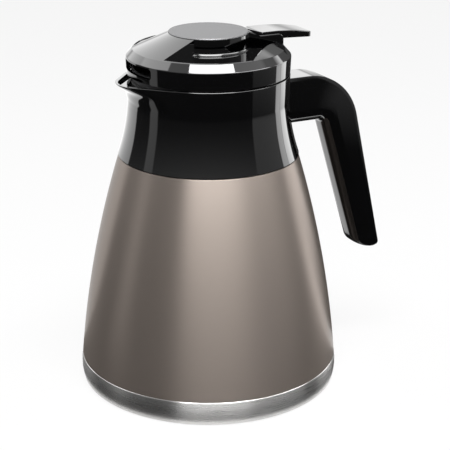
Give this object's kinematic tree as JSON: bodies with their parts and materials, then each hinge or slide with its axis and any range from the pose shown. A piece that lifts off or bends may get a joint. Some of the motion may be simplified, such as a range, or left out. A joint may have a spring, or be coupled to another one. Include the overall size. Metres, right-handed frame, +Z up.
{
  "type": "thermal carafe",
  "caption": "Vacuum carafe with a lacquered steel body, a pouring spout, a cantilever handle and a round screw lid with a thumb lever.",
  "frame": {"origin": "centre of the foot, on the table", "axes": "+Z up along the axis of the carafe, +X towards the handle, -X towards the spout"},
  "size_m": [0.1972, 0.159, 0.217],
  "materials": {
    "lacquer": "gloss",
    "steel": "satin",
    "screw_steel": "satin",
    "disc_metal": "satin",
    "getter": "matte",
    "black_plastic": "gloss",
    "inner_plastic": "matte",
    "rubber": "matte",
    "silicone": "matte"
  },
  "bodies": {
    "carafe": {"outer_shell": "lacquer", "base_band": "steel", "closing_disc": "steel", "vacuum_seal": "steel", "getter_disc": "getter", "base_cover": "inner_plastic", "foot_ring": "rubber", "inner_liner": "steel", "collar_gasket": "rubber", "collar": "black_plastic", "clamp_ring": "inner_plastic", "mouth_gasket": "silicone", "neck_insert": "inner_plastic", "insert_screws": "screw_steel", "handle_shell": "black_plastic", "handle_cover": "black_plastic", "cover_screws": "screw_steel", "handle_bracket": "steel", "bracket_screws": "screw_steel"},
    "seal": {"stopper_gasket": "silicone"},
    "lid": {"lid_shell": "black_plastic", "lid_disc": "disc_metal", "lid_floor": "inner_plastic", "stem_seal": "silicone", "stopper": "inner_plastic", "stopper_screws": "screw_steel", "lever_pin": "screw_steel", "valve_spring": "screw_steel"},
    "lever": {"lever": "black_plastic"},
    "valve": {"valve_stem": "screw_steel", "spring_clip": "inner_plastic", "valve_plug": "inner_plastic", "plug_seal": "silicone"}
  },
  "joints": [
    {"name": "lid_rise", "type": "slide", "parent": "carafe", "child": "seal", "axis": [0, 0, 1], "range_m": [0, 0.0061]},
    {"name": "lid_turn", "type": "hinge", "parent": "seal", "child": "lid", "pos_m": [0, 0, 0.19], "axis": [0, 0, 1], "range_deg": [0, 90]},
    {"name": "lever_press", "type": "hinge", "parent": "lid", "child": "lever", "pos_m": [0.037, 0, 0.2084], "axis": [0, 1, 0], "range_deg": [0, 8.3]},
    {"name": "valve_lift", "type": "slide", "parent": "lid", "child": "valve", "axis": [0, 0, 1], "range_m": [0, 0.00516], "stiffness_N_per_m": 120, "springref_m": -0.008, "deforming": ["valve_spring"]}
  ],
  "couplings": [
    {"joint": "lid_rise", "follows": "lid_turn", "m_per_rad": 0.0038197},
    {"joint": "lever_press", "follows": "valve_lift", "rad_per_m": 27.027}
  ]
}
